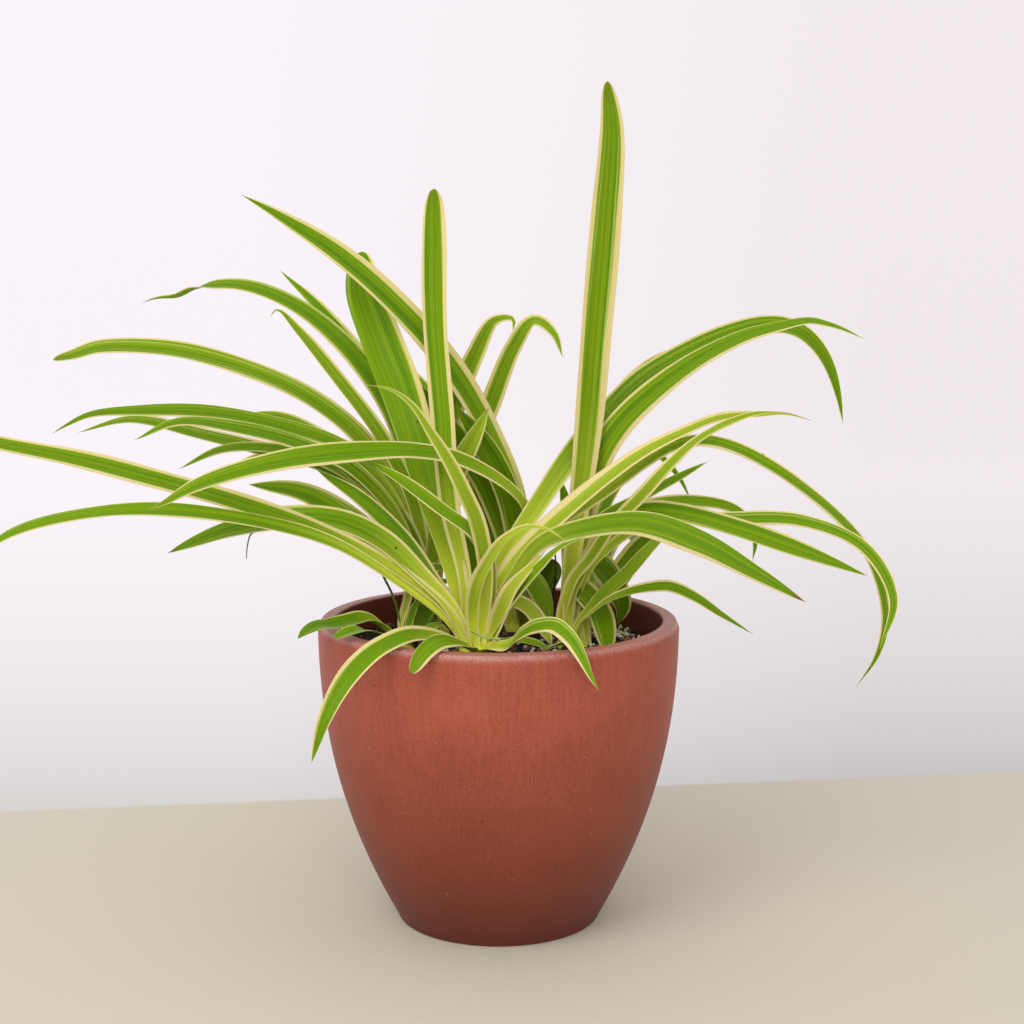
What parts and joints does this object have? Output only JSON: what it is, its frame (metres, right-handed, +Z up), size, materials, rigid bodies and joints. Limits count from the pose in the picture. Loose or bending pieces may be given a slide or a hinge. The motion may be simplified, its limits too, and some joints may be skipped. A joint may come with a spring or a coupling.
{
  "type": "potted spider plant",
  "caption": "Variegated spider plant with long arching strap leaves, growing in a round egg-sided ceramic pot filled with potting mix.",
  "frame": {"origin": "centre of the pot's flat foot, on the surface that it stands on", "axes": "+Z up, +X to the right and +Y away from the viewer, as the plant is seen in the picture"},
  "size_m": [0.3765, 0.23, 0.3441],
  "materials": {
    "pot": "matt brick-red glazed ceramic",
    "soil": "loose dark potting mix",
    "leaf": "smooth leaf, green with cream margins"
  },
  "bodies": {
    "root": {"pot": "pot", "soil": "soil", "rosette_front": "leaf", "rosette_right": "leaf", "rosette_left": "leaf", "rosette_back": "leaf", "rosette_small": "leaf"}
  },
  "joints": []
}
